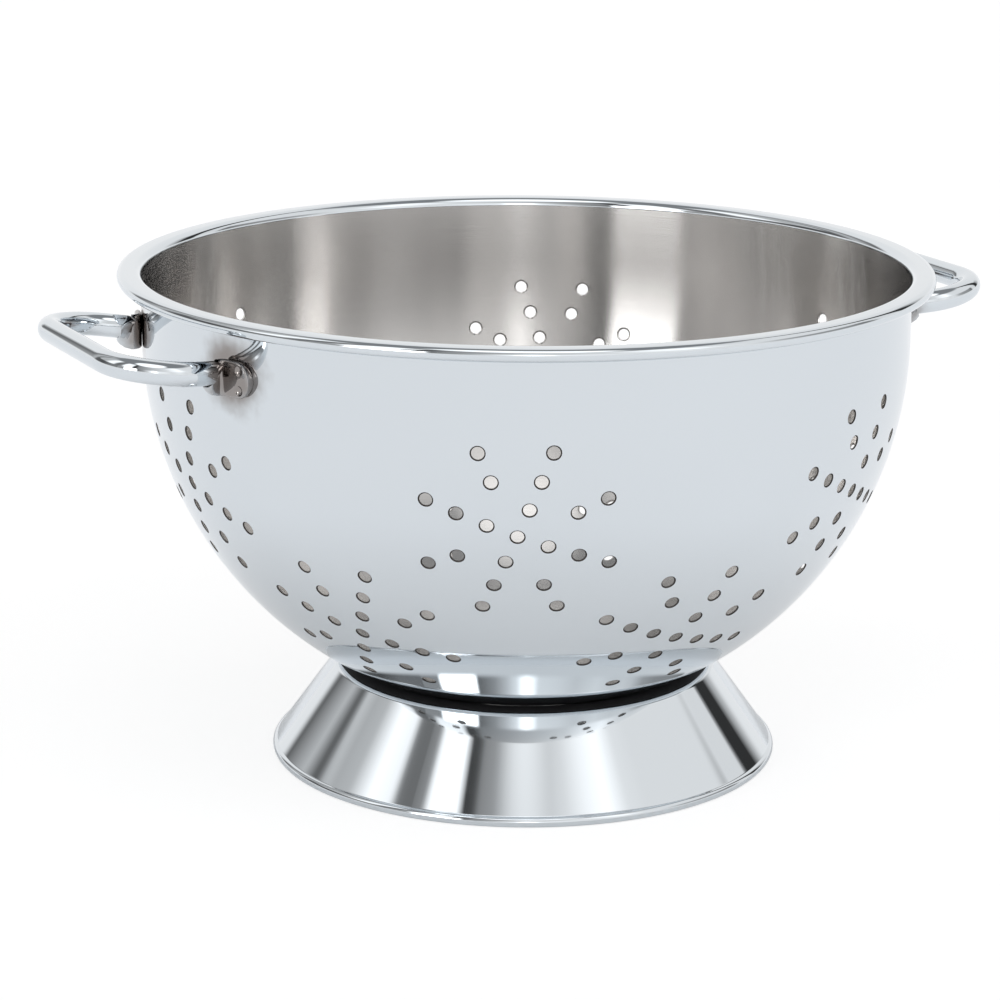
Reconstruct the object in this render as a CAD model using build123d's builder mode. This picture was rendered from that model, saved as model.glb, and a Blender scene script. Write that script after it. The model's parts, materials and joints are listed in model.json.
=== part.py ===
"""Spun stainless colander: perforated bowl, flared foot ring and two tube handles.

The origin is the middle of the ring that the foot stands on. +Z is up and the handles lie along X.
"""

from build123d import *
import os
from math import acos, asin, atan2, copysign, cos, degrees, hypot, pi, radians, sin, sqrt, tan

# Bowl: a half sphere that is a little flatter underneath, with a short upright wall
bowl_radius = 132.0
bowl_wall = 0.7
bowl_underside_height = 24.04
upright_wall_height = 20.0
dish_half_angle = 13.0
knuckle_radius = 80.0
knuckle_end_angle = 34.0

# Rim: the sheet turned outwards, past the outside of the bowl, and rolled under
rim_width = 8.0
rim_depth = 4.4
rim_inner_bend = 2.2
rim_tuck = 1.2

# Drain holes: stars of eight rays, every second ray without its inmost hole
hole_diameter = 4.2
hole_pitch = 10.4
hole_sides = 6
star_rays = 8
star_long_ray_holes = 3
star_turn = -21.3
stars_in_row = 6
rows_turn = 2.0

# One star of the upper row stands a little closer to its neighbour than the others do
shifted_star = 1
shifted_star_angle = -3.0

# How far below level the middles of the two rows of stars lie, seen from the sphere's centre
upper_row_drop = 17.64
lower_row_drop = 39.24

# Foot ring: a flange against the bowl, a level collar that leaves a crevice open under the bowl, a
# flared cone and a bead, rolled inwards, to stand on
foot_inset = 43.15
foot_sheet = 1.0
foot_flare = 35.6
foot_flange_width = 5.0
foot_collar_bend_radius = 6.0
foot_collar_width = 6.2
foot_shoulder_radius = 2.0
foot_heel_radius = 1.4
foot_heel_angle = 35.0
foot_roll_radius = 1.3
foot_flat_width = 1.2
foot_curl_angle = 110.0

# Handles: bent tube with both ends pressed flat, turned outwards and bent round the bowl's wall
tube_diameter = 8.0
tube_wall = 1.0
handle_stand_off = 30.8
handle_root_spread = 38.5
handle_splay_angle = 22.0
handle_rise_angle = 7.3
handle_lift = 4.5
press_length = 3.0

# Share of the leg, from the grip to where it is pressed, that the bend at the corner takes
corner_share = 0.87
press_drop = 1.5
pad_thickness = 2.2
pad_length = 11.1
pad_bend_radius = 1.2

# Spot welds, and the film of air between the welded sheets
weld_gap = 0.4
weld_clearance = 0.04
weld_diameter = 5.0
foot_weld_count = 6

# Every cut runs past the metal by this much
overrun = 1.0


def polar_point(distance, angle):
    """Give the offset of a point this far away in this direction."""
    return Vector(distance * cos(radians(angle)), distance * sin(radians(angle)))


def sheet_edge(middle, heading, steps, offset):
    """Draw one face of a bent sheet, offset to the left of its middle line, and give its two ends."""
    first = middle + polar_point(offset, heading + 90)
    last = first
    for length, radius, angle in steps:
        if length:
            middle = middle + polar_point(length, heading)
            last = Line(last, middle + polar_point(offset, heading + 90)) @ 1
        if angle:
            inward = copysign(90, angle)
            centre = middle + polar_point(radius, heading + inward)
            edge_radius = radius - offset if angle > 0 else radius + offset
            last = CenterArc(centre, edge_radius, heading - inward, angle) @ 1
            heading = heading + angle
            middle = centre + polar_point(radius, heading - inward)
    return first, last


def bent_sheet(start, heading, steps, thickness):
    """Draw the outline of a sheet that follows straight lengths and turns, each (length, radius, angle)."""
    left_start, left_end = sheet_edge(start, heading, steps, thickness / 2)
    right_start, right_end = sheet_edge(start, heading, steps, -thickness / 2)
    Line(left_start, right_start)
    Line(left_end, right_end)


def star_holes(centre, radius, azimuth, drop):
    """Give the places of one star's holes, each square to the sphere, from its centre hole outwards."""
    star = centre * Rot(0, 0, azimuth) * Rot(0, 90 + drop, 0)
    step = degrees(hole_pitch / radius)
    places = [star]
    for ray in range(star_rays):
        first_hole = 1 if ray % 2 == 0 else 2
        bearing = Rot(0, 0, star_turn + ray * 360 / star_rays)
        for hole in range(first_hole, star_long_ray_holes + 1):
            places.append(star * bearing * Rot(0, hole * step, 0))
    return places


# Bowl sizes that follow from the ones above, all on the middle of the sheet
bowl_middle_radius = bowl_radius - bowl_wall / 2
knuckle_offset = bowl_middle_radius - knuckle_radius
knuckle_centre_reach = knuckle_offset * sin(radians(knuckle_end_angle))
dish_radius = knuckle_radius + knuckle_centre_reach / sin(radians(dish_half_angle))
dish_centre_height = bowl_underside_height + bowl_wall / 2 + dish_radius
knuckle_centre_height = dish_centre_height - knuckle_centre_reach / tan(radians(dish_half_angle))
bowl_centre_height = knuckle_centre_height + knuckle_offset * cos(radians(knuckle_end_angle))
rim_bend = rim_inner_bend + bowl_wall / 2
rim_roll = (rim_depth - bowl_wall) / 2
lip_width = rim_width - rim_bend - rim_roll

bowl_steps = [
    (0, dish_radius, dish_half_angle),
    (0, knuckle_radius, knuckle_end_angle - dish_half_angle),
    (0, bowl_middle_radius, 90 - knuckle_end_angle),
    (upright_wall_height, rim_bend, -90),
    (lip_width, rim_roll, -180),
    (rim_tuck, 0, 0),
]

sphere_centre = Pos(0, 0, bowl_centre_height)
dish_centre = Pos(0, 0, dish_centre_height)
row_spacing = 360 / stars_in_row
wall_holes = []
for place in range(stars_in_row):
    azimuth = rows_turn + place * row_spacing
    shift = shifted_star_angle if place == shifted_star else 0
    wall_holes += star_holes(sphere_centre, bowl_radius, azimuth + shift, upper_row_drop)
    wall_holes += star_holes(sphere_centre, bowl_radius, azimuth + row_spacing / 2, lower_row_drop)
dish_holes = star_holes(dish_centre, dish_radius, rows_turn, 90)

# There are so many holes that each is cut with a few flat sides, as large in area as the round hole
drill_length = bowl_wall + 2 * overrun
hole_side_angle = 2 * pi / hole_sides
drill_corner_radius = hole_diameter / 2 * sqrt(hole_side_angle / sin(hole_side_angle))
drill = extrude(RegularPolygon(drill_corner_radius, hole_sides), drill_length)

with BuildPart() as bowl:
    with BuildSketch(Plane.XZ):
        with BuildLine():
            bent_sheet(Vector(0, dish_centre_height - dish_radius), 0, bowl_steps, bowl_wall)
        make_face()
    revolve(axis=Axis.Z)
    with Locations(*[place * Pos(0, 0, bowl_radius - bowl_wall - overrun) for place in wall_holes]):
        add(drill, mode=Mode.SUBTRACT)
    with Locations(*[place * Pos(0, 0, dish_radius - bowl_wall / 2 - overrun) for place in dish_holes]):
        add(drill, mode=Mode.SUBTRACT)

# Foot: the flange follows the bowl's knuckle, bends level as the collar, and the shoulder rolls from
# the collar onto the cone
flange_radius = knuckle_radius + bowl_wall / 2 + weld_gap + foot_sheet / 2
cone_slope = 90 - foot_flare
heel_end_slope = cone_slope - foot_heel_angle
roll_outer_radius = foot_roll_radius + foot_sheet / 2
roll_centre = Vector(bowl_radius - foot_inset - roll_outer_radius, roll_outer_radius)
heel_centre = roll_centre + polar_point(foot_roll_radius + foot_heel_radius, 90 - heel_end_slope)
cone_foot = heel_centre - polar_point(foot_heel_radius, 90 - cone_slope)

# The flange leaves the bowl at the angle where a collar of the right width ends just on the cone
inside_foot = cone_foot - polar_point(foot_shoulder_radius, 90 - cone_slope)
collar_centre_reach = flange_radius + foot_collar_bend_radius
reach_left = inside_foot.X - knuckle_centre_reach - foot_collar_width
height_left = knuckle_centre_height + foot_collar_bend_radius - foot_shoulder_radius - inside_foot.Y
missing = height_left * cos(radians(cone_slope)) - reach_left * sin(radians(cone_slope))
leave_angle = degrees(acos(missing / collar_centre_reach)) - cone_slope
collar_drop = collar_centre_reach * cos(radians(leave_angle)) - foot_collar_bend_radius
shoulder_drop = collar_drop + foot_shoulder_radius
cone_length = (knuckle_centre_height - shoulder_drop - inside_foot.Y) / sin(radians(cone_slope))
flange_span = degrees(foot_flange_width / flange_radius)
flange_start_angle = leave_angle - flange_span
knuckle_centre = Vector(knuckle_centre_reach, knuckle_centre_height)
flange_start = knuckle_centre + polar_point(flange_radius, flange_start_angle - 90)

foot_steps = [
    (0, flange_radius, flange_span),
    (0, foot_collar_bend_radius, -leave_angle),
    (foot_collar_width, foot_shoulder_radius, -cone_slope),
    (cone_length, foot_heel_radius, foot_heel_angle),
    (0, foot_roll_radius, heel_end_slope - 180),
    (foot_flat_width, foot_roll_radius, -foot_curl_angle),
]

with BuildPart() as foot_ring:
    with BuildSketch(Plane.XZ):
        with BuildLine():
            bent_sheet(flange_start, flange_start_angle, foot_steps, foot_sheet)
        make_face()
    revolve(axis=Axis.Z)

# Handle sizes: each pad is a strip in plan that bends away from its leg and follows the wall
tube_radius = tube_diameter / 2
pad_width = pi * (tube_diameter - tube_wall) / 2 + tube_wall
pad_middle_radius = bowl_radius + weld_gap + pad_thickness / 2
pad_bend = pad_bend_radius + pad_thickness / 2
bend_reach = pad_middle_radius + pad_bend
bend_centre_spread = handle_root_spread + pad_bend * cos(radians(handle_splay_angle))
pad_root_angle = degrees(asin(bend_centre_spread / bend_reach))
pad_root = polar_point(bend_reach, pad_root_angle) + polar_point(pad_bend, handle_splay_angle - 90)
pad_tip_angle = pad_root_angle + degrees((pad_length - pad_width / 2) / pad_middle_radius)
pad_weld_angle = pad_root_angle + degrees(pad_length / 2 / pad_middle_radius)
pad_steps = [
    (0, pad_bend, pad_root_angle - 90 - handle_splay_angle),
    (0, pad_middle_radius, degrees((pad_length + overrun) / pad_middle_radius)),
]

handle_height = bowl_centre_height + handle_lift
pad_height = handle_height - press_drop

# The tube lies in a plane that rises from the wall, and its legs spread as they leave the wall
rise_per_length = tan(radians(handle_rise_angle))
spread_per_length = tan(radians(handle_splay_angle))
leg_run = bowl_radius + handle_stand_off - pad_root.X
front_spread = handle_root_spread + leg_run * spread_per_length
pressed_spread = handle_root_spread + press_length * spread_per_length
tube_front = leg_run / cos(radians(handle_rise_angle))
pressed_front = press_length / cos(radians(handle_rise_angle))
leg_spread = front_spread - pressed_spread
corner_turn = 90 + degrees(atan2(leg_spread, tube_front - pressed_front))
leg_length = hypot(leg_spread, tube_front - pressed_front)
corner_radius = corner_share * leg_length / tan(radians(corner_turn / 2))
handle_plane = Plane(
    origin=(pad_root.X, 0, handle_height),
    x_dir=(1, 0, rise_per_length),
    z_dir=(-rise_per_length, 0, 1),
)

with BuildPart() as right_handle:
    # Half of the tube, from the middle of the grip to where the pressing starts
    with BuildLine(handle_plane) as tube_line:
        FilletPolyline(
            (tube_front, 0),
            (tube_front, front_spread),
            (pressed_front, pressed_spread),
            radius=corner_radius,
        )
    with BuildSketch(Plane(tube_line.line @ 0, x_dir=handle_plane.z_dir, z_dir=tube_line.line % 0)):
        Circle(tube_radius)
    sweep()
    # The end goes from round to flat
    with BuildSketch(Plane(tube_line.line @ 1, x_dir=handle_plane.z_dir, z_dir=tube_line.line % 1)):
        Circle(tube_radius)
    pad_root_place = (pad_root.X, pad_root.Y, pad_height)
    with BuildSketch(Plane(pad_root_place, x_dir=(0, 0, 1), z_dir=polar_point(1, handle_splay_angle + 180))):
        SlotOverall(pad_width, pad_thickness)
    loft()
    # The pad, with a round tip
    with BuildSketch(Plane.XY.offset(pad_height - pad_width / 2)):
        with BuildLine():
            bent_sheet(pad_root, 180 + handle_splay_angle, pad_steps, pad_thickness)
        make_face()
    extrude(amount=pad_width)
    tip_centre = polar_point(pad_middle_radius, pad_tip_angle) + Vector(0, 0, pad_height)
    along_wall = polar_point(1, pad_tip_angle + 90)
    with BuildSketch(Plane(tip_centre, x_dir=along_wall, z_dir=polar_point(1, pad_tip_angle))):
        Rectangle(pad_width / 2 + 2 * overrun, pad_width + 2 * overrun, align=(Align.MIN, Align.CENTER))
        Circle(pad_width / 2, mode=Mode.SUBTRACT)
    extrude(amount=pad_thickness + overrun, both=True, mode=Mode.SUBTRACT)
    mirror(about=Plane.XZ)

with BuildPart() as left_handle:
    add(right_handle.part, rotation=(0, 0, 180))

# Spot welds: flat discs in the film of air between bowl and pads, and between bowl and flange
weld_thickness = weld_gap - 2 * weld_clearance
pad_weld_seat = Pos(0, 0, bowl_radius + weld_clearance)
foot_weld_seat = Pos(0, 0, knuckle_radius + bowl_wall / 2 + weld_clearance)
foot_weld_tilt = 180 - flange_start_angle - flange_span / 2
handle_weld_places = []
for handle_azimuth in (0, 180):
    for side in (-1, 1):
        turned = Pos(0, 0, pad_height) * Rot(0, 0, handle_azimuth + side * pad_weld_angle)
        handle_weld_places.append(turned * Rot(0, 90, 0) * pad_weld_seat)
foot_weld_places = []
for place in range(foot_weld_count):
    turned = Rot(0, 0, place * 360 / foot_weld_count) * Pos(knuckle_centre.X, 0, knuckle_centre.Y)
    foot_weld_places.append(turned * Rot(0, foot_weld_tilt, 0) * foot_weld_seat)
on_seat = (Align.CENTER, Align.CENTER, Align.MIN)

with BuildPart() as handle_spot_welds:
    with Locations(*handle_weld_places):
        Cylinder(weld_diameter / 2, weld_thickness, align=on_seat)

with BuildPart() as foot_spot_welds:
    with Locations(*foot_weld_places):
        Cylinder(weld_diameter / 2, weld_thickness, align=on_seat)

os.makedirs("parts", exist_ok=True)

bowl.part.label = "bowl"
export_step(bowl.part, "parts/bowl.step")

foot_ring.part.label = "foot_ring"
export_step(foot_ring.part, "parts/foot_ring.step")

right_handle.part.label = "right_handle"
export_step(right_handle.part, "parts/right_handle.step")

left_handle.part.label = "left_handle"
export_step(left_handle.part, "parts/left_handle.step")

handle_spot_welds.part.label = "handle_spot_welds"
export_step(handle_spot_welds.part, "parts/handle_spot_welds.step")

foot_spot_welds.part.label = "foot_spot_welds"
export_step(foot_spot_welds.part, "parts/foot_spot_welds.step")
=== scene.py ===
"""Colander of spun stainless steel: the looks of the bowl, the foot ring and the two handles.

Sizes are in metres in the model's own frame: the foot stands on z = 0 and the handles lie along X.
"""

import json
from math import acos, asin, atan2, copysign, cos, pi, radians, sin, sqrt, tan

import bpy
from bpy.props import FloatProperty, FloatVectorProperty, IntProperty, PointerProperty
from mathutils import Matrix, Vector

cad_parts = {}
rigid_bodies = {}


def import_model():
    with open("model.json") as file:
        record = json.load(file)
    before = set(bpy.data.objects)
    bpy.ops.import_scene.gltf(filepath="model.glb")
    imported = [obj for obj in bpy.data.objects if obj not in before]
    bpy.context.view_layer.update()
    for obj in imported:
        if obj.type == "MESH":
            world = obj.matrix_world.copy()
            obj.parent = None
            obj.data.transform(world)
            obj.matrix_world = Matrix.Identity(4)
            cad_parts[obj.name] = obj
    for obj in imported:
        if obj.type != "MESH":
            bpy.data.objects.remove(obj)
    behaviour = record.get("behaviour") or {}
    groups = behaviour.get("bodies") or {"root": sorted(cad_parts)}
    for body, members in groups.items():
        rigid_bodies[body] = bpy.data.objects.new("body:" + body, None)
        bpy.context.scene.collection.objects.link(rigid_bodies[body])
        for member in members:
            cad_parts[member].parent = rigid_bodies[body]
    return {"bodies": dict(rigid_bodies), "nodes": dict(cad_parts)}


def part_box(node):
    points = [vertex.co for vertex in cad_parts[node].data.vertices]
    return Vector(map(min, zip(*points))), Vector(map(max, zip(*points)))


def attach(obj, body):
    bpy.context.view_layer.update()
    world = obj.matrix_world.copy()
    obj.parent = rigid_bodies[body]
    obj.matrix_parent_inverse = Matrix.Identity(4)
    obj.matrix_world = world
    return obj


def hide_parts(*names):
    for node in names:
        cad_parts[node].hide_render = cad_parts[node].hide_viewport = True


bl_info = {
    "name": "Footed colander",
    "version": (1, 0, 0),
    "blender": (4, 5, 0),
    "location": "3D View > Sidebar > Colander",
    "description": "Models a perforated steel bowl on a foot ring, with two tube handles",
    "category": "Object",
}

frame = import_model()
body = next(iter(frame["bodies"]))
bowl_top_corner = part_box("bowl")[1]
foot_top_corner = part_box("foot_ring")[1]

# Edges flatter than this look smooth, and points closer than this are one point
SMOOTH_ANGLE = radians(32)
SAME_POINT = 0.000005

# A cutter runs past the metal by this much
OVERRUN = 0.001

# Noise scales in patches per metre, and how wide that makes a patch
BUFFING_HAZE = 60  # 17 mm
TINT_AND_SHADE_CLOUD = 140  # 7 mm
# The crevice's painted shade changes its roughness over these patches
CREVICE_SHADE_PATCHES = 180  # 5.6 mm
WELD_GRAIN = 900  # 1.1 mm, coarser than real so that it shows
PUNCH_GRAIN = 1500  # 0.7 mm, coarser than real so that it shows

# Brushed lines per radian round the sphere's centre: 0.3 mm each, coarser than real so that they show
BRUSHED_LINES = 420

# How far the browning round a weld reaches through, along and up the wall: partly real weld discolouring,
# partly painted shade round the pads
TINT_AND_SHADE_REACH = (0.012, 0.020, 0.016)

WHITE = (1, 1, 1, 1)

# The camera, as the outlines in the photograph give it: the lens in millimetres on a film 36 mm wide
CAMERA_PLACE = (-0.5179, -1.0165, 0.3921)
CAMERA_WAY = (0.454, 0.891, 0)
CAMERA_PITCH = radians(14.87)
CAMERA_ROLL = radians(0.433)
CAMERA_FILM = 36
CAMERA_LENS = 121.42
CAMERA_SHIFT = -0.025


def linear(value):
    """Turn an sRGB hex colour into the linear colour that Blender's shaders use."""
    parts = [int(value[place : place + 2], 16) / 255 for place in (1, 3, 5)]
    return [part / 12.92 if part <= 0.04045 else ((part + 0.055) / 1.055) ** 2.4 for part in parts]


def length(name, description, default):
    """Give a property for a length, in metres."""
    return FloatProperty(
        name=name, description=description, default=default, min=0, precision=5, unit="LENGTH"
    )


def turn(name, description, default):
    """Give a property for an angle, whose default is written in degrees."""
    return FloatProperty(name=name, description=description, default=radians(default), subtype="ANGLE")


def count(name, description, default):
    """Give a property for a whole number."""
    return IntProperty(name=name, description=description, default=default, min=1)


def colour(name, description, default):
    """Give a property for a colour, whose default is written in hex."""
    return FloatVectorProperty(
        name=name, description=description, default=linear(default), subtype="COLOR", size=3, min=0, max=1
    )


class BowlSizes(bpy.types.PropertyGroup):
    """Sizes of the spun bowl and its rolled rim."""

    radius: length("Radius", "Outer radius of the half sphere", 0.132)
    wall: length("Wall", "Thickness of the sheet", 0.0007)
    centre_height: length("Centre height", "Height of the sphere's centre", 0.1505)
    dish_angle: turn("Dish angle", "Half angle of the shallow dish underneath", 13)
    knuckle_radius: length("Knuckle radius", "Bend between the dish and the sphere", 0.080)
    knuckle_angle: turn("Knuckle angle", "Where the knuckle meets the sphere", 34)
    rim_top: length("Rim top", "Height of the rim", bowl_top_corner.z)
    rim_radius: length("Rim radius", "Outer radius of the rim", bowl_top_corner.x)
    rim_depth: length("Rim depth", "Height of the rolled edge", 0.0044)
    rim_inner_bend: length("Inner bend", "Bend from the wall onto the rim", 0.0022)
    rim_tuck: length("Tuck", "Straight length under the rim", 0.0012)
    segments: count("Segments", "Divisions round the bowl", 240)


class HoleSizes(bpy.types.PropertyGroup):
    """Sizes of the drain holes and of the stars that they stand in."""

    diameter: length("Diameter", "Diameter of a hole", 0.0042)
    pitch: length("Pitch", "From one hole of a ray to the next", 0.0104)
    edge: length("Edge", "Width of the rounded edge of a hole", 0.0005)
    sides: count("Sides", "Divisions round a hole", 20)
    rays: count("Rays", "Rays of a star", 8)
    per_ray: count("Holes in a ray", "Holes in a full ray", 3)
    star_turn: turn("Star turn", "How far a star is turned about its middle", -21.3)
    stars: count("Stars in a row", "Stars round the bowl in each of the two rows", 6)
    rows_turn: turn("Rows turn", "How far the rows are turned round the bowl", 2)
    shifted: count("Shifted star", "The star of the upper row that stands out of line", 1)
    shift: turn("Shift", "How far out of line it stands", -3)
    upper_height: length("Upper row", "Height of the upper row of stars", 0.1105)
    lower_height: length("Lower row", "Height of the lower row of stars", 0.0670)


class FootSizes(bpy.types.PropertyGroup):
    """Sizes of the flared foot ring and its bead."""

    radius: length("Radius", "Outer radius of the bead", foot_top_corner.x)
    sheet: length("Sheet", "Thickness of the sheet", 0.0010)
    flare: turn("Flare", "How far the cone leans from upright", 35.6)
    flange: length("Flange", "Width of the flange against the bowl", 0.005)
    collar_bend: length("Collar bend", "Bend from the flange onto the collar", 0.006)
    collar: length("Collar", "Width of the level collar", 0.0062)
    shoulder_radius: length("Shoulder radius", "Bend from the collar onto the cone", 0.002)
    heel_radius: length("Heel radius", "Bend from the cone onto the bead", 0.0014)
    heel_angle: turn("Heel angle", "How far the heel turns", 35)
    roll_radius: length("Roll radius", "Bend of the bead", 0.0013)
    flat: length("Flat", "Width of the flat that it stands on", 0.0012)
    curl: turn("Curl", "How far the edge curls up inside", 110)
    segments: count("Segments", "Divisions round the foot", 240)


class HandleSizes(bpy.types.PropertyGroup):
    """Sizes of a bent tube handle and its pressed ends."""

    tube_diameter: length("Tube", "Diameter of the tube", 0.008)
    tube_wall: length("Tube wall", "Wall of the tube", 0.001)
    reach: length("Reach", "From the bowl's middle to the grip's middle", 0.1628)
    spread: length("Spread", "Half the distance between the legs at the bowl", 0.0385)
    splay: turn("Splay", "How far the legs spread outwards", 22)
    corner_radius: length("Corner radius", "Bend at the grip's corners", 0.01877)
    rise: turn("Rise", "How far the handle rises from the bowl", 7.3)
    height: length("Height", "Height of the tube at the bowl", 0.155)
    press: length("Press", "Length over which the tube goes flat", 0.003)
    drop: length("Drop", "How far the pads lie under the tube's line", 0.0015)
    pad_thickness: length("Pad thickness", "Thickness of a pressed end", 0.0022)
    pad_length: length("Pad length", "Length of a pad round the wall", 0.0111)
    pad_bend: length("Pad bend", "Inner bend from the leg onto the pad", 0.0012)
    weld_gap: length("Weld gap", "Air between the sheets that are welded", 0.00005)
    dimple_radius: length("Dimple", "Radius of the ball that presses a weld's dimple", 0.0023)
    dimple_depth: length("Dimple depth", "Depth of a weld's dimple", 0.0008)
    dimple_spread: length("Dimple spread", "From a dimple to the middle height of its pad", 0.0032)
    sides: count("Sides", "Divisions round the tube", 32)


class Finishes(bpy.types.PropertyGroup):
    """Colours of the metal and of the stage."""

    polished: colour("Polished", "Polished steel", "#D9DEE2")
    brushed: colour("Brushed", "Brushed steel", "#D2D0CE")
    # The scale colour is a nearly black painted shade for the crevice between the foot and the bowl
    scale: colour("Scale", "Scale that welding leaves in the crevice", "#1D1C1E")
    weld: colour("Weld", "Steel beside a weld", "#B9B5AE")
    floor: colour("Floor", "Floor of the stage", "#F4F4F4")
    ceiling: colour("Ceiling", "Ceiling of the studio, as the metal shows it", "#8E9092")
    # The edge colour is dark partly for the punch's rough tear and partly as painted shade round each hole
    edge: colour("Edge", "Rough edge of a punched hole", "#3F3C3A")
    # Brown round the welds: partly the steel's weld discolouring, partly painted shade by the pads
    tint: colour("Heat tint", "Colour that welding leaves on the steel round it", "#8A827D")


def start_fresh():
    """Leave edit mode and deselect everything, so that an operator acts on what is made next."""
    if bpy.context.object and bpy.context.object.mode != "OBJECT":
        bpy.ops.object.mode_set(mode="OBJECT")
    bpy.ops.object.select_all(action="DESELECT")


def choose(*pieces):
    """Select these pieces and nothing else, the last one active."""
    start_fresh()
    for piece in pieces:
        piece.select_set(True)
    bpy.context.view_layer.objects.active = pieces[-1]


def modify(kind, **settings):
    """Give the active piece a modifier with these settings and apply it."""
    bpy.ops.object.modifier_add(type=kind)
    modifier = bpy.context.object.modifiers[-1]
    for name, value in settings.items():
        setattr(modifier, name, value)
    bpy.ops.object.modifier_apply(modifier=modifier.name)


def settle():
    """Put the place, turn and scale of the selected objects into their meshes."""
    bpy.ops.object.transform_apply(location=True, rotation=True, scale=True)


def cut_active_from(piece):
    """Cut the active object, which is closed, out of a piece, and take it away."""
    cutter = bpy.context.object
    settle()
    choose(piece)
    modify("BOOLEAN", operation="DIFFERENCE", object=cutter, solver="MANIFOLD")
    bpy.data.objects.remove(cutter)


def select_points(test):
    """Select the points of the active piece that pass a test of their place, and stay in edit mode."""
    bpy.ops.object.mode_set(mode="EDIT")
    bpy.ops.mesh.select_mode(type="VERT")
    bpy.ops.mesh.select_all(action="DESELECT")
    bpy.ops.object.mode_set(mode="OBJECT")
    for point in bpy.context.object.data.vertices:
        point.select = test(point.co)
    bpy.ops.object.mode_set(mode="EDIT")


def give_materials(piece, *makers):
    """Give a piece the materials that these functions make, each of them made once, under its own name."""
    piece.data.materials.clear()
    for maker in makers:
        piece.data.materials.append(bpy.data.materials.get(maker.__name__) or maker())


def finish_piece(name, *nodes):
    """Name the active piece, put its place into its mesh, and set it in the frame for these CAD nodes."""
    if bpy.context.object.mode != "OBJECT":
        bpy.ops.object.mode_set(mode="OBJECT")
    settle()
    bpy.ops.object.shade_smooth_by_angle(angle=SMOOTH_ANGLE)
    piece = bpy.context.object
    piece.name = name
    piece.data.name = name
    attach(piece, body)
    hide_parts(*nodes)
    return piece


def side_offset(distance, angle):
    """Give the offset of a point this far away in the XZ plane, at this angle above level."""
    return Vector((distance * cos(angle), 0, distance * sin(angle)))


def draw_profile(point, heading, steps):
    """Draw a sheet's middle line in the XZ plane, by steps of (straight length, radius, angle, parts)."""
    start_fresh()
    bpy.ops.mesh.primitive_plane_add(size=0.001, location=point)
    bpy.ops.object.mode_set(mode="EDIT")
    bpy.ops.mesh.select_mode(type="VERT")
    bpy.ops.mesh.merge(type="CENTER")
    for straight, radius, angle, parts in steps:
        if straight:
            move = side_offset(straight, heading)
            bpy.ops.mesh.extrude_region_move(TRANSFORM_OT_translate={"value": move})
            point = point + move
        if angle:
            inward = copysign(pi / 2, angle)
            centre = point + side_offset(radius, heading + inward)
            bpy.ops.mesh.spin(steps=parts, angle=angle, center=centre, axis=(0, 1, 0))
            heading = heading + angle
            point = centre + side_offset(radius, heading - inward)


def spin_sheet(segments, thickness):
    """Spin the drawn profile round the Z axis and give the sheet its thickness."""
    bpy.ops.mesh.select_all(action="SELECT")
    bpy.ops.mesh.spin(steps=segments, angle=2 * pi, center=(0, 0, 0), axis=(0, 0, 1))
    bpy.ops.mesh.select_all(action="SELECT")
    bpy.ops.mesh.remove_doubles(threshold=SAME_POINT)
    bpy.ops.mesh.normals_make_consistent(inside=False)
    bpy.ops.object.mode_set(mode="OBJECT")
    settle()
    modify("SOLIDIFY", thickness=thickness, offset=0, use_even_offset=True, use_quality_normals=True)


def add_node(tree, kind, inputs=None, **settings):
    """Add a shader node, set its settings, and set or link its inputs."""
    made = tree.nodes.new(kind)
    for name, value in settings.items():
        setattr(made, name, value)
    for name, value in (inputs or {}).items():
        if isinstance(value, bpy.types.NodeSocket):
            tree.links.new(value, made.inputs[name])
        else:
            made.inputs[name].default_value = value
    return made


def new_material(name):
    """Start a material with an empty node tree, and give the tree."""
    material = bpy.data.materials.new(name)
    material.use_nodes = True
    material.node_tree.nodes.clear()
    return material, material.node_tree


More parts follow.
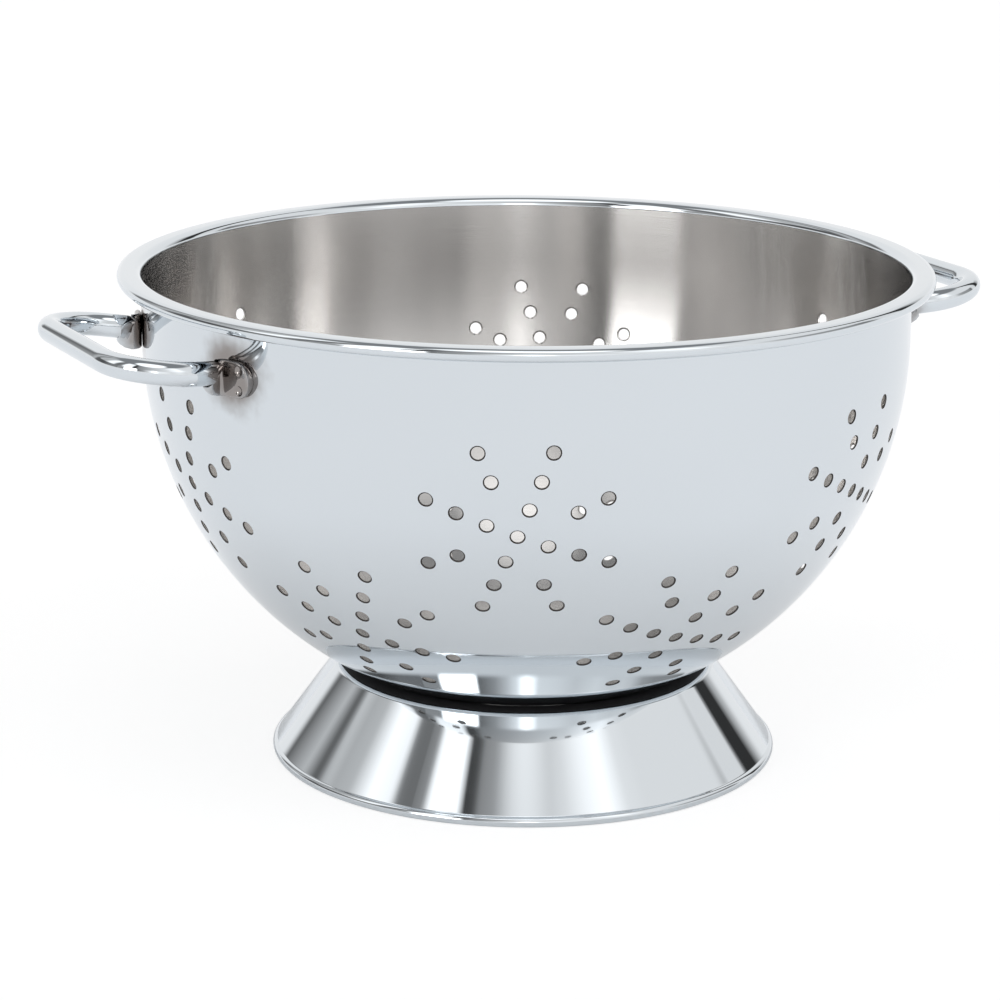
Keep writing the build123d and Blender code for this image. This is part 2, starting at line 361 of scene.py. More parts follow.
def mirror_polished_stainless_steel():
    """Stainless steel buffed to a mirror: a little hazy, and browned round the handles' welds, partly as weld
    discolouring and partly as painted shade by the pads.
    """
    material, tree = new_material("mirror_polished_stainless_steel")
    finishes = bpy.context.scene.colander_finishes
    bowl = bpy.context.scene.colander_bowl
    handle = bpy.context.scene.colander_handle
    place = add_node(tree, "ShaderNodeTexCoord").outputs["Object"]
    haze = add_node(tree, "ShaderNodeTexNoise", {"Vector": place, "Scale": BUFFING_HAZE, "Detail": 4})
    rough = add_node(
        tree,
        "ShaderNodeMapRange",
        {"Value": haze.outputs["Fac"], "From Min": 0.3, "From Max": 0.7, "To Min": 0.03, "To Max": 0.06},
    )
    # The four pads lie alike in the four quarters, so one spot serves them all
    quarter = add_node(tree, "ShaderNodeVectorMath", {0: place}, operation="ABSOLUTE")
    spot_turn = asin(handle.spread / bowl.radius) + handle.pad_length / 4 / bowl.radius
    spot = (bowl.radius * cos(spot_turn), bowl.radius * sin(spot_turn), handle.height)
    arm = add_node(tree, "ShaderNodeVectorMath", {0: quarter.outputs[0], 1: spot}, operation="SUBTRACT")
    per_reach = [1 / reach for reach in TINT_AND_SHADE_REACH]
    share = add_node(tree, "ShaderNodeVectorMath", {0: arm.outputs[0], 1: per_reach}, operation="MULTIPLY")
    away = add_node(tree, "ShaderNodeVectorMath", {0: share.outputs[0]}, operation="LENGTH")
    cloud = add_node(tree, "ShaderNodeTexNoise", {"Vector": place, "Scale": TINT_AND_SHADE_CLOUD, "Detail": 2})
    ragged = add_node(
        tree,
        "ShaderNodeMath",
        {0: cloud.outputs["Fac"], 1: 0.6, 2: away.outputs["Value"]},
        operation="MULTIPLY_ADD",
    )
    # The browning is strongest at the pads: partly weld discolouring, partly painted shade
    tint_and_shade_share = add_node(
        tree,
        "ShaderNodeMapRange",
        {"Value": ragged.outputs[0], "From Min": 0.6, "From Max": 1.35, "To Min": 0.9, "To Max": 0},
        interpolation_type="SMOOTHSTEP",
    )
    colour = add_node(
        tree,
        "ShaderNodeMix",
        {0: tint_and_shade_share.outputs["Result"], 6: list(finishes.polished) + [1], 7: list(finishes.tint) + [1]},
        data_type="RGBA",
    )
    surface = add_node(
        tree,
        "ShaderNodeBsdfPrincipled",
        {"Base Color": colour.outputs[2], "Metallic": 1, "Roughness": rough.outputs["Result"]},
    )
    add_node(tree, "ShaderNodeOutputMaterial", {"Surface": surface.outputs["BSDF"]})
    return material


def lathe_brushed_stainless_steel():
    """Stainless steel brushed on the lathe: lines round the bowl spread each light into an upright band."""
    material, tree = new_material("lathe_brushed_stainless_steel")
    bowl = bpy.context.scene.colander_bowl
    place = add_node(tree, "ShaderNodeTexCoord").outputs["Object"]
    across = add_node(tree, "ShaderNodeVectorMath", {0: place, 1: (0, 0, 1)}, operation="CROSS_PRODUCT")
    round_way = add_node(tree, "ShaderNodeVectorMath", {0: across.outputs[0]}, operation="NORMALIZE")
    apart = add_node(tree, "ShaderNodeSeparateXYZ", {"Vector": place})
    out = add_node(tree, "ShaderNodeVectorMath", {0: place, 1: (1, 1, 0)}, operation="MULTIPLY")
    reach = add_node(tree, "ShaderNodeVectorMath", {0: out.outputs[0]}, operation="LENGTH")
    height = add_node(
        tree, "ShaderNodeMath", {0: apart.outputs["Z"], 1: bowl.centre_height}, operation="SUBTRACT"
    )
    tilt = add_node(
        tree, "ShaderNodeMath", {0: height.outputs[0], 1: reach.outputs["Value"]}, operation="ARCTAN2"
    )
    lines = add_node(
        tree,
        "ShaderNodeTexNoise",
        {"W": tilt.outputs[0], "Scale": BRUSHED_LINES, "Detail": 3},
        noise_dimensions="1D",
    )
    rough = add_node(
        tree,
        "ShaderNodeMapRange",
        {"Value": lines.outputs["Fac"], "From Min": 0.3, "From Max": 0.7, "To Min": 0.16, "To Max": 0.22},
    )
    bump = add_node(
        tree, "ShaderNodeBump", {"Height": lines.outputs["Fac"], "Strength": 0.12, "Distance": 0.00005}
    )
    surface = add_node(
        tree,
        "ShaderNodeBsdfPrincipled",
        {
            "Base Color": list(bpy.context.scene.colander_finishes.brushed) + [1],
            "Metallic": 1,
            "Roughness": rough.outputs["Result"],
            "Anisotropic": 1,
            "Anisotropic Rotation": 0.25,
            "Tangent": round_way.outputs["Vector"],
            "Normal": bump.outputs["Normal"],
        },
    )
    add_node(tree, "ShaderNodeOutputMaterial", {"Surface": surface.outputs["BSDF"]})
    return material


def grained_material(name, colour, noise, smoothest, roughest, metallic):
    """Make a material of one colour, whose roughness changes between two values over a noise's patches."""
    material, tree = new_material(name)
    place = add_node(tree, "ShaderNodeTexCoord").outputs["Object"]
    grain = add_node(tree, "ShaderNodeTexNoise", {"Vector": place, **noise})
    rough = add_node(
        tree, "ShaderNodeMapRange", {"Value": grain.outputs["Fac"], "To Min": smoothest, "To Max": roughest}
    )
    surface = add_node(
        tree,
        "ShaderNodeBsdfPrincipled",
        {"Base Color": list(colour) + [1], "Metallic": metallic, "Roughness": rough.outputs["Result"]},
    )
    add_node(tree, "ShaderNodeOutputMaterial", {"Surface": surface.outputs["BSDF"]})
    return material


def crevice_painted_shade_steel():
    """Steel painted nearly black and dull in the crevice under the foot's shoulder: painted shade for the
    shadowed gap against the bowl.
    """
    colour = bpy.context.scene.colander_finishes.scale
    noise = {"Scale": CREVICE_SHADE_PATCHES, "Detail": 3}
    return grained_material("crevice_painted_shade_steel", colour, noise, 0.55, 0.75, metallic=0)


def punched_edge_and_shade_steel():
    """Stainless steel torn by a punch, at the edge of a hole: dull, and darker than the sheet, partly for the
    rough tear and partly as painted shade round the hole.
    """
    colour = bpy.context.scene.colander_finishes.edge
    noise = {"Scale": PUNCH_GRAIN, "Detail": 2}
    return grained_material("punched_edge_and_shade_steel", colour, noise, 0.3, 0.5, metallic=1)


def spot_welded_stainless_steel():
    """Stainless steel melted in a spot weld: grey and matt."""
    colour = bpy.context.scene.colander_finishes.weld
    noise = {"Scale": WELD_GRAIN, "Detail": 3}
    return grained_material("spot_welded_stainless_steel", colour, noise, 0.35, 0.6, metallic=1)


def matt_white_paper():
    """Matt white paper: it looks white to the camera and in the metal, and keeps a soft shadow."""
    material, tree = new_material("matt_white_paper")
    colour = list(bpy.context.scene.colander_finishes.floor) + [1]
    rays = add_node(tree, "ShaderNodeLightPath")
    matt = add_node(tree, "ShaderNodeBsdfDiffuse", {"Color": colour})
    white = add_node(tree, "ShaderNodeEmission", {"Color": WHITE, "Strength": 1.2})
    seen = add_node(tree, "ShaderNodeMixShader", {0: 0.62, 1: matt.outputs[0], 2: white.outputs[0]})
    glow = add_node(tree, "ShaderNodeEmission", {"Color": (0.98, 1, 1.03, 1), "Strength": 1.25})
    place = add_node(tree, "ShaderNodeTexCoord").outputs["Object"]
    away = add_node(tree, "ShaderNodeVectorMath", {0: place}, operation="LENGTH")
    # In the metal the paper gets a painted shade round the bowl, from 0.25 m inwards: less glow is mixed in
    # nearer the middle
    open_paper = add_node(
        tree,
        "ShaderNodeMapRange",
        {"Value": away.outputs["Value"], "From Min": 0.09, "From Max": 0.25, "To Min": 0.1, "To Max": 0.42},
        interpolation_type="SMOOTHSTEP",
    )
    mirrored = add_node(
        tree, "ShaderNodeMixShader", {0: open_paper.outputs["Result"], 1: matt.outputs[0], 2: glow.outputs[0]}
    )
    paper = matt
    for kind, look in (("Is Glossy Ray", mirrored), ("Is Camera Ray", seen)):
        paper = add_node(
            tree, "ShaderNodeMixShader", {0: rays.outputs[kind], 1: paper.outputs[0], 2: look.outputs[0]}
        )
    add_node(tree, "ShaderNodeOutputMaterial", {"Surface": paper.outputs[0]})
    return material


# The studio round the object, by compass direction in degrees from +X towards +Y, and how bright it is
# there. Low down it is what the bowl's inside and the foot's sides show: a bright screen to the left of the
# camera, and dark stands at its sides
LOW_SCREENS = (
    (-180, 0.4),
    (-168, 0.4),
    (-166, 5.0),
    (-146, 5.0),
    (-144, 0.2),
    (-134, 0.45),
    (-127, 0.83),
    (-121, 1.3),
    (-115, 2.8),
    (-108, 1.2),
    (-96, 1.1),
    (-86, 0.95),
    (-73, 1.1),
    (-62, 0.95),
    (-55, 0.98),
    (-49, 0.87),
    (-41, 0.52),
    (-32, 0.4),
    (-15, 0.36),
    (-6, 0.2),
    (-3, 0.9),
    (7, 0.9),
    (9, 0.04),
    (17, 0.04),
    (21, 0.5),
    (30, 0.95),
    (98, 1.0),
    (105, 0.15),
    (120, 0.62),
    (127, 0.15),
    (147, 0.1),
    (164, 0.25),
)
# Higher up it is what the foot's front shows: tall screens with dark gaps between them
HIGH_SCREENS = (
    (-180, 0.25),
    (-175, 0.35),
    (-171, 1.5),
    (-156, 1.5),
    (-152, 0.06),
    (-147, 0.1),
    (-143, 0.32),
    (-128, 0.5),
    (-117, 0.66),
    (-100, 0.84),
    (-91, 0.95),
    (-79, 1.27),
    (-67, 1.5),
    (-56, 1.02),
    (-46, 0.95),
    (6, 0.95),
    (9, 0.04),
    (17, 0.04),
    (20, 0.95),
    (98, 1.0),
    (104, 0.7),
    (107, 0.12),
    (113, 0.5),
    (121, 0.6),
    (127, 0.15),
    (132, 0.74),
    (139, 0.55),
    (147, 0.62),
    (158, 1.5),
    (168, 1.3),
    (172, 0.25),
    (176, 0.2),
)


def ring_of_screens(tree, compass, screens):
    """Give the brightness of a ring of screens, as a ramp round the compass."""
    ramp = add_node(tree, "ShaderNodeValToRGB", {"Fac": compass})
    stops = ramp.color_ramp.elements
    while len(stops) < len(screens):
        stops.new(0.5)
    for stop, (bearing, level) in zip(stops, screens):
        stop.position = (bearing + 180) / 360
        stop.color = (level, level, level, 1)
    return ramp.outputs["Color"]


def blend_by_height(tree, height, low, high, below, above):
    """Go softly from one colour to another between two heights in the sky, where 1 is straight up."""
    share = add_node(
        tree,
        "ShaderNodeMapRange",
        {"Value": height, "From Min": low, "From Max": high},
        interpolation_type="SMOOTHSTEP",
    )
    mix = add_node(tree, "ShaderNodeMix", {0: share.outputs["Result"], 6: below, 7: above}, data_type="RGBA")
    return mix.outputs[2]


def pale_studio(ceiling):
    """Make the screens, ceiling and softbox that the metal shows, and a white background for the camera."""
    world = bpy.data.worlds.new("pale_studio")
    world.use_nodes = True
    tree = world.node_tree
    tree.nodes.clear()
    way = add_node(tree, "ShaderNodeTexCoord").outputs["Generated"]
    parts = add_node(tree, "ShaderNodeSeparateXYZ", {"Vector": way})
    bearing = add_node(
        tree, "ShaderNodeMath", {0: parts.outputs["Y"], 1: parts.outputs["X"]}, operation="ARCTAN2"
    )
    compass = add_node(
        tree,
        "ShaderNodeMapRange",
        {"Value": bearing.outputs[0], "From Min": -pi, "From Max": pi, "To Min": 0, "To Max": 1},
    )
    height = parts.outputs["Z"]
    low = ring_of_screens(tree, compass.outputs["Result"], LOW_SCREENS)
    high = ring_of_screens(tree, compass.outputs["Result"], HIGH_SCREENS)
    sky = blend_by_height(tree, height, 0.08, 0.16, WHITE, low)
    sky = blend_by_height(tree, height, 0.38, 0.46, sky, high)
    sky = blend_by_height(tree, height, 0.8, 0.88, sky, list(ceiling) + [1])
    # The softbox hangs above the camera and fades out between two angles from its middle
    softbox_bearing, softbox_climb = radians(-117), radians(72)
    softbox_edge, softbox_face = radians(20), radians(14)
    softbox = (
        cos(softbox_bearing) * cos(softbox_climb),
        sin(softbox_bearing) * cos(softbox_climb),
        sin(softbox_climb),
    )
    toward = add_node(tree, "ShaderNodeVectorMath", {0: way, 1: softbox}, operation="DOT_PRODUCT")
    lit = add_node(
        tree,
        "ShaderNodeMapRange",
        {"Value": toward.outputs["Value"], "From Min": cos(softbox_edge), "From Max": cos(softbox_face)},
        interpolation_type="SMOOTHSTEP",
    )
    rays = add_node(tree, "ShaderNodeLightPath")
    screens = add_node(tree, "ShaderNodeBackground", {"Color": sky, "Strength": 1})
    lamp = add_node(tree, "ShaderNodeBackground", {"Color": WHITE, "Strength": 1.6})
    white = add_node(tree, "ShaderNodeBackground", {"Color": WHITE, "Strength": 1})
    studio = add_node(
        tree, "ShaderNodeMixShader", {0: lit.outputs["Result"], 1: screens.outputs[0], 2: lamp.outputs[0]}
    )
    shown = add_node(
        tree,
        "ShaderNodeMixShader",
        {0: rays.outputs["Is Camera Ray"], 1: studio.outputs[0], 2: white.outputs[0]},
    )
    add_node(tree, "ShaderNodeOutputWorld", {"Surface": shown.outputs[0]})
    return world


def copy_to(source, turned):
    """Copy a cutter, with its own mesh, and turn the copy."""
    copy = source.copy()
    copy.data = source.data.copy()
    bpy.context.collection.objects.link(copy)
    copy.matrix_world = turned
    return copy


def star_of_drills(drill, radius, holes):
    """Copy the drill, which stands on the Z axis, into one star of drills on a sphere of this radius."""
    step = holes.pitch / radius
    drills = []
    for ray in range(holes.rays):
        bearing = Matrix.Rotation(holes.star_turn + ray * 2 * pi / holes.rays, 4, "Z")
        # Every second ray has no hole next to the middle one
        first = 1 if ray % 2 == 0 else 2
        for hole in range(first, holes.per_ray + 1):
            drills.append(copy_to(drill, bearing @ Matrix.Rotation(hole * step, 4, "Y")))
    middle = copy_to(drill, Matrix.Identity(4))
    choose(*drills, middle)
    bpy.ops.object.join()
    return bpy.context.object


def flare_out(rise, widening):
    """Extrude the selected end of a drill up or down, and widen it."""
    bpy.ops.mesh.extrude_region_move(TRANSFORM_OT_translate={"value": (0, 0, rise)})
    bpy.ops.transform.resize(value=(widening, widening, 1))


def model_drill(radius, bowl, holes):
    """Model a drill on the Z axis that cuts a hole with rounded edges at this distance."""
    start_fresh()
    outer_edge = holes.edge * 0.7
    inner_edge = holes.edge * 0.5
    top = radius - outer_edge
    bottom = radius - bowl.wall + inner_edge
    bpy.ops.mesh.primitive_cylinder_add(
        vertices=holes.sides,
        radius=holes.diameter / 2,
        depth=top - bottom,
        location=(0, 0, (top + bottom) / 2),
    )
    settle()
    widening = (holes.diameter / 2 + holes.edge) / (holes.diameter / 2)
    select_points(lambda place: place.z > top - OVERRUN / 10)
    flare_out(outer_edge, widening)
    flare_out(OVERRUN, widening)
    select_points(lambda place: place.z < bottom + OVERRUN / 10)
    flare_out(-inner_edge, widening)
    flare_out(-OVERRUN, widening)
    bpy.ops.object.mode_set(mode="OBJECT")
    return bpy.context.object


class COLANDER_OT_bowl(bpy.types.Operator):
    """Model the perforated bowl with its rolled rim"""

    bl_idname = "colander.bowl"
    bl_label = "Bowl"

    def execute(self, context):
        bowl = context.scene.colander_bowl
        holes = context.scene.colander_holes
        middle = bowl.radius - bowl.wall / 2
        knuckle_offset = middle - bowl.knuckle_radius
        knuckle_height = bowl.centre_height - knuckle_offset * cos(bowl.knuckle_angle)
        knuckle_reach = knuckle_offset * sin(bowl.knuckle_angle)
        dish_radius = bowl.knuckle_radius + knuckle_reach / sin(bowl.dish_angle)
        dish_height = knuckle_height + knuckle_reach / tan(bowl.dish_angle)
        rim_bend = bowl.rim_inner_bend + bowl.wall / 2
        rim_roll = (bowl.rim_depth - bowl.wall) / 2
        wall_height = bowl.rim_top - bowl.centre_height - rim_bend - bowl.wall / 2
        lip = bowl.rim_radius - middle - rim_bend - rim_roll - bowl.wall / 2
        steps = [
            (0, dish_radius, bowl.dish_angle, 14),
            (0, bowl.knuckle_radius, bowl.knuckle_angle - bowl.dish_angle, 9),
            (0, middle, pi / 2 - bowl.knuckle_angle, 38),
            (wall_height, rim_bend, -pi / 2, 8),
            (lip, rim_roll, -pi, 12),
            (bowl.rim_tuck, 0, 0, 1),
        ]
        draw_profile(Vector((0, 0, dish_height - dish_radius)), 0, steps)
        spin_sheet(bowl.segments, bowl.wall)
        sheet = context.object

        drill = model_drill(bowl.radius, bowl, holes)
        star = star_of_drills(drill, bowl.radius, holes)
        cutters = []
        centre = Matrix.Translation((0, 0, bowl.centre_height))
        upper_drop = asin((bowl.centre_height - holes.upper_height) / bowl.radius)
        lower_drop = asin((bowl.centre_height - holes.lower_height) / bowl.radius)
        spacing = 2 * pi / holes.stars
        for place in range(holes.stars):
            azimuth = holes.rows_turn + place * spacing
            shift = holes.shift if place == holes.shifted else 0
            rows = [(azimuth + shift, upper_drop), (azimuth + spacing / 2, lower_drop)]
            for way, drop in rows:
                turned = Matrix.Rotation(way, 4, "Z") @ Matrix.Rotation(pi / 2 + drop, 4, "Y")
                cutters.append(copy_to(star, centre @ turned))
        dish_drill = model_drill(dish_radius + bowl.wall / 2, bowl, holes)
        dish_star = star_of_drills(dish_drill, dish_radius + bowl.wall / 2, holes)
        dish_star.matrix_world = (
            Matrix.Translation((0, 0, dish_height))
            @ Matrix.Rotation(holes.rows_turn, 4, "Z")
            @ Matrix.Rotation(pi, 4, "Y")
        )
        choose(*cutters, dish_star)
        bpy.ops.object.join()
        cut_active_from(sheet)
        for spare in (drill, star, dish_drill):
            bpy.data.objects.remove(spare)

        give_materials(
            sheet,
            mirror_polished_stainless_steel,
            lathe_brushed_stainless_steel,
            punched_edge_and_shade_steel,
        )
        outside, inside, punched = range(3)
        # What looks less straight out of the sphere, or into it, than this belongs to a hole's edge, which is
        # painted dark: partly the punch's rough tear, partly painted shade round the hole
        straight = 0.9
        rim_start = bowl.rim_top - bowl.rim_inner_bend - bowl.wall

        def finish_of(face):
            """Give the material slot of a face, from where it lies and which way it looks."""
            if face.center.z > bowl.centre_height:
                reach = Vector((face.center.x, face.center.y)).length
                return inside if reach < middle and face.center.z < rim_start else outside
            arm = face.center - Vector((0, 0, bowl.centre_height))
            outward = face.normal.dot(arm) / arm.length
            if abs(outward) < straight:
                return punched
            return inside if outward < 0 else outside

        for face in sheet.data.polygons:
            face.material_index = finish_of(face)
        choose(sheet)
        finish_piece("colander_bowl", "bowl")
        return {"FINISHED"}


class COLANDER_OT_foot(bpy.types.Operator):
    """Model the flared foot ring with its flange and bead"""

    bl_idname = "colander.foot"
    bl_label = "Foot ring"

    def execute(self, context):
        bowl = context.scene.colander_bowl
        foot = context.scene.colander_foot
        handle = context.scene.colander_handle
        knuckle_offset = bowl.radius - bowl.wall / 2 - bowl.knuckle_radius
        bowl_centre = Vector((0, 0, bowl.centre_height))
        knuckle = bowl_centre + side_offset(knuckle_offset, bowl.knuckle_angle - pi / 2)
        flange_radius = bowl.knuckle_radius + bowl.wall / 2 + handle.weld_gap + foot.sheet / 2
        slope = pi / 2 - foot.flare
        heel_end = slope - foot.heel_angle
        roll_outer = foot.roll_radius + foot.sheet / 2
        roll_centre = Vector((foot.radius - roll_outer, 0, roll_outer))
        heel_centre = roll_centre + side_offset(foot.roll_radius + foot.heel_radius, pi / 2 - heel_end)
        cone_foot = heel_centre - side_offset(foot.heel_radius, pi / 2 - slope)
        inside_foot = cone_foot - side_offset(foot.shoulder_radius, pi / 2 - slope)
        # The flange leaves the bowl where a collar of the right width ends on the cone
        reach_left = inside_foot.x - knuckle.x - foot.collar
        height_left = knuckle.z + foot.collar_bend - foot.shoulder_radius - inside_foot.z
        missing = height_left * cos(slope) - reach_left * sin(slope)
        leave_angle = acos(missing / (flange_radius + foot.collar_bend)) - slope
        collar_height = knuckle.z + foot.collar_bend - (flange_radius + foot.collar_bend) * cos(leave_angle)
        cone_length = (collar_height - foot.shoulder_radius - inside_foot.z) / sin(slope)
        span = foot.flange / flange_radius
        start = knuckle + side_offset(flange_radius, leave_angle - span - pi / 2)
        steps = [
            (0, flange_radius, span, 3),
            (0, foot.collar_bend, -leave_angle, 5),
            (foot.collar, foot.shoulder_radius, -slope, 12),
            (cone_length, foot.heel_radius, foot.heel_angle, 5),
            (0, foot.roll_radius, heel_end - pi, 12),
            (foot.flat, foot.roll_radius, -foot.curl, 8),
        ]
        draw_profile(start, leave_angle - span, steps)
        spin_sheet(foot.segments, foot.sheet)
        ring = context.object
        give_materials(ring, mirror_polished_stainless_steel, crevice_painted_shade_steel)
        # The painted shade lies on what looks upwards inside the crevice, where the gap against the bowl is
        # in shadow
        upwards = 0.7
        shoulder_start = inside_foot.x - cone_length * cos(slope)
        for face in ring.data.polygons:
            reach = Vector((face.center.x, face.center.y)).length
            face.material_index = int(face.normal.z > upwards and reach < shoulder_start)
        choose(ring)
        finish_piece("colander_foot_ring", "foot_ring")
        return {"FINISHED"}


class COLANDER_OT_handles(bpy.types.Operator):
    """Model the right handle with its pressed ends, and copy it to the left"""

    bl_idname = "colander.handles"
    bl_label = "Handles"

    def execute(self, context):
        bowl = context.scene.colander_bowl
        size = context.scene.colander_handle
        corner_parts, press_parts, bend_parts, pad_parts, tip_parts = 20, 6, 8, 6, 8
        pad_width = pi * (size.tube_diameter - size.tube_wall) / 2 + size.tube_wall
        pad_middle = bowl.radius + size.weld_gap + size.pad_thickness / 2
        bend = size.pad_bend + size.pad_thickness / 2
        bend_reach = pad_middle + bend
        root_angle = asin((size.spread + bend * cos(size.splay)) / bend_reach)
        bend_centre = Vector((bend_reach * cos(root_angle), bend_reach * sin(root_angle), 0))
        root = bend_centre + Vector((bend * sin(size.splay), -bend * cos(size.splay), 0))
        pad_height = size.height - size.drop
        leg_run = size.reach - root.x
        front_spread = size.spread + leg_run * tan(size.splay)
        press_spread = size.spread + size.press * tan(size.splay)
        tube_front = leg_run / cos(size.rise)
        leg = Vector((tube_front - size.press / cos(size.rise), front_spread - press_spread, 0))
        corner = pi / 2 + atan2(leg.y, leg.x)
        tangent = size.corner_radius * tan(corner / 2)
        leg_way = -leg.normalized()
        leg_length = leg.length - tangent

        start_fresh()
        grip = root.x + tube_front
        bpy.ops.mesh.primitive_circle_add(
            vertices=size.sides,
            radius=size.tube_diameter / 2,
            location=(grip, 0, size.height),
            rotation=(pi / 2, 0, 0),
        )
        settle()
        bpy.ops.object.mode_set(mode="EDIT")
        bpy.ops.mesh.extrude_region_move(
            TRANSFORM_OT_translate={"value": (0, front_spread - tangent, 0)}
        )
        corner_centre = (grip - size.corner_radius, front_spread - tangent, size.height)
        bpy.ops.mesh.spin(steps=corner_parts, angle=-corner, center=corner_centre, axis=(0, 0, 1))
        bpy.ops.mesh.extrude_region_move(TRANSFORM_OT_translate={"value": leg_way * leg_length})
        bpy.ops.mesh.select_all(action="SELECT")
        bpy.ops.transform.rotate(
            value=size.rise, orient_axis="Y", center_override=(root.x, 0, size.height)
        )
        bpy.ops.object.mode_set(mode="OBJECT")
        tube = context.object

        # The pad starts as a small ring across the root of the leg, drawn out to the width of the flat tube
        bpy.ops.mesh.primitive_circle_add(
            vertices=size.sides,
            radius=size.pad_thickness / 2,
            location=(root.x, root.y, pad_height),
            rotation=(0, pi / 2, size.splay),
        )
        settle()
        fine = size.pad_thickness / 100
        half_flat = (pad_width - size.pad_thickness) / 2
        select_points(lambda place: place.z > pad_height + fine)
        bpy.ops.transform.translate(value=(0, 0, half_flat))
        select_points(lambda place: place.z < pad_height - fine)
        bpy.ops.transform.translate(value=(0, 0, -half_flat))
        bpy.ops.mesh.select_all(action="SELECT")
        bend_angle = pi / 2 + size.splay - root_angle
        bpy.ops.mesh.spin(steps=bend_parts, angle=bend_angle, center=bend_centre, axis=(0, 0, 1))
        straight_angle = (size.pad_length - pad_width / 2) / pad_middle
        bpy.ops.mesh.spin(steps=pad_parts, angle=-straight_angle, center=(0, 0, 0), axis=(0, 0, 1))
        # The pad's end is a half circle, drawn in parts that get shorter and lower
        reached = 0
        for part in range(1, tip_parts + 1):
            share = sin(pi / 2 * part / (tip_parts + 0.5))
            narrowing = sqrt(1 - share**2) / sqrt(1 - reached**2)
            tip_turn = (share - reached) * pad_width / 2 / pad_middle
            bpy.ops.mesh.spin(steps=1, angle=-tip_turn, center=(0, 0, 0), axis=(0, 0, 1))
            bpy.ops.transform.resize(value=(1, 1, narrowing), center_override=(0, 0, pad_height))
            reached = share
        bpy.ops.mesh.edge_face_add()
        bpy.ops.object.mode_set(mode="OBJECT")
        pad = context.object

        choose(pad, tube)
        bpy.ops.object.join()
        tube_end = Vector((root.x + size.press, press_spread, size.height + size.press * tan(size.rise)))
        root_middle = Vector((root.x, root.y, pad_height))
        sloping = Matrix.Rotation(-size.rise, 3, "Y") @ leg_way
        level = Vector((cos(size.splay), sin(size.splay), 0))

        def on_ring(place, middle, way):
            """Tell whether a point is on the ring round this middle that lies across this way."""
            arm = place - middle
            return abs(arm.dot(way)) < fine and arm.length < pad_width

        # The press runs from the last ring of the round tube to the first ring of the pad
        select_points(lambda place: on_ring(place, root_middle, level) or on_ring(place, tube_end, sloping))
        bpy.ops.mesh.bridge_edge_loops(number_cuts=press_parts)
        bpy.ops.object.mode_set(mode="OBJECT")
        modify("MIRROR", use_axis=(False, True, False), use_clip=True, merge_threshold=fine)
        bpy.ops.object.mode_set(mode="EDIT")
        bpy.ops.mesh.select_all(action="SELECT")
        bpy.ops.mesh.remove_doubles(threshold=fine)
        bpy.ops.mesh.normals_make_consistent(inside=False)
        bpy.ops.object.mode_set(mode="OBJECT")
        right = context.object

        # Two spot welds have left a dimple each in a pad, one over the other, a little past its middle
        pad_share = 0.6
        dimple_turn = root_angle + pad_share * size.pad_length / pad_middle
        dimple_reach = pad_middle + size.pad_thickness / 2 + size.dimple_radius - size.dimple_depth
        for side in (-1, 1):
            for way in (-1, 1):
                start_fresh()
                bpy.ops.mesh.primitive_uv_sphere_add(
                    segments=24,
                    ring_count=16,
                    radius=size.dimple_radius,
                    location=(
                        dimple_reach * cos(dimple_turn),
                        side * dimple_reach * sin(dimple_turn),
                        pad_height + way * size.dimple_spread,
                    ),
                )
                cut_active_from(right)
        give_materials(right, mirror_polished_stainless_steel)
        bpy.ops.object.duplicate()
        bpy.ops.transform.rotate(value=pi, orient_axis="Z", center_override=(0, 0, 0))
        finish_piece("colander_left_handle", "left_handle")
        choose(right)
        finish_piece("colander_right_handle", "right_handle")
        return {"FINISHED"}


class COLANDER_OT_welds(bpy.types.Operator):
    """Finish the spot welds that the frame carries"""

    bl_idname = "colander.welds"
    bl_label = "Spot welds"

    def execute(self, context):
        for name in ("handle_spot_welds", "foot_spot_welds"):
            give_materials(frame["nodes"][name], spot_welded_stainless_steel)
        return {"FINISHED"}


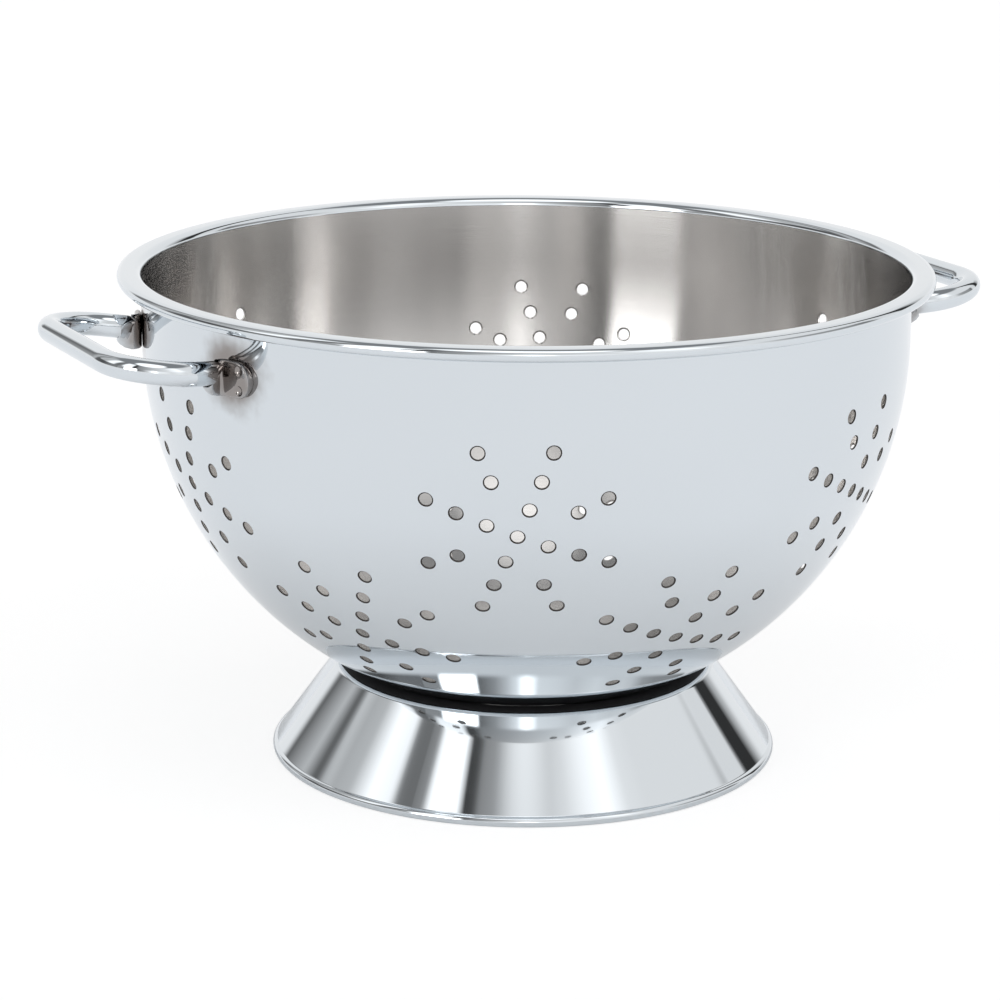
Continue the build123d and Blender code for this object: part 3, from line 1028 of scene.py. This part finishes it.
class COLANDER_OT_stage(bpy.types.Operator):
    """Set the floor, the studio light and the camera"""

    bl_idname = "colander.stage"
    bl_label = "Stage"

    def execute(self, context):
        scene = context.scene
        start_fresh()
        bpy.ops.mesh.primitive_plane_add(size=12, location=(0, 0, 0))
        floor = context.object
        floor.name = "floor"
        give_materials(floor, matt_white_paper)
        scene.world = pale_studio(scene.colander_finishes.ceiling)

        # The lamp gives the paper a soft shadow, and the metal doesn't show it
        lamp_place = Vector((0.55, -1.0, 1.35))
        lamp_aim = Vector((0, 0, 0.1))
        start_fresh()
        bpy.ops.object.light_add(type="AREA", location=lamp_place)
        lamp = context.object
        lamp.name = "softbox"
        lamp.data.size = 0.5
        lamp.data.energy = 1.5
        lamp.visible_glossy = False
        lamp.rotation_euler = (lamp_aim - lamp_place).to_track_quat("-Z", "Y").to_euler()

        level_way = Vector(CAMERA_WAY).normalized()
        look = level_way * cos(CAMERA_PITCH) + Vector((0, 0, -sin(CAMERA_PITCH)))
        roll = Matrix.Rotation(CAMERA_ROLL, 3, "Z")
        bpy.ops.object.camera_add(location=CAMERA_PLACE)
        camera = context.object
        camera.name = "photo_camera"
        camera.rotation_mode = "QUATERNION"
        camera.rotation_quaternion = (look.to_track_quat("-Z", "Y").to_matrix() @ roll).to_quaternion()
        camera.data.sensor_width = CAMERA_FILM
        camera.data.lens = CAMERA_LENS
        camera.data.shift_x = CAMERA_SHIFT
        scene.camera = camera
        scene.view_settings.view_transform = "Standard"
        return {"FINISHED"}


class COLANDER_PT_panel(bpy.types.Panel):
    """List the colander's pieces in the sidebar"""

    bl_idname = "COLANDER_PT_panel"
    bl_label = "Colander"
    bl_space_type = "VIEW_3D"
    bl_region_type = "UI"
    bl_category = "Colander"

    def draw(self, context):
        for step in STEPS:
            self.layout.operator(step.bl_idname)


GROUPS = {
    "colander_bowl": BowlSizes,
    "colander_holes": HoleSizes,
    "colander_foot": FootSizes,
    "colander_handle": HandleSizes,
    "colander_finishes": Finishes,
}
STEPS = (COLANDER_OT_bowl, COLANDER_OT_foot, COLANDER_OT_handles, COLANDER_OT_welds, COLANDER_OT_stage)


def register():
    """Register the classes and hang their property groups on the scene."""
    for group in GROUPS.values():
        bpy.utils.register_class(group)
    for step in STEPS:
        bpy.utils.register_class(step)
    bpy.utils.register_class(COLANDER_PT_panel)
    for name, group in GROUPS.items():
        setattr(bpy.types.Scene, name, PointerProperty(type=group))


def unregister():
    """Take the property groups off the scene and unregister the classes."""
    for name in GROUPS:
        delattr(bpy.types.Scene, name)
    bpy.utils.unregister_class(COLANDER_PT_panel)
    for step in reversed(STEPS):
        bpy.utils.unregister_class(step)
    for group in reversed(GROUPS.values()):
        bpy.utils.unregister_class(group)


def main():
    """Build the colander and its stage."""
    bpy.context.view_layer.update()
    register()
    bpy.ops.colander.bowl()
    bpy.ops.colander.foot()
    bpy.ops.colander.handles()
    bpy.ops.colander.welds()
    bpy.ops.colander.stage()
    bpy.context.view_layer.update()


if __name__ == "__main__":
    main()
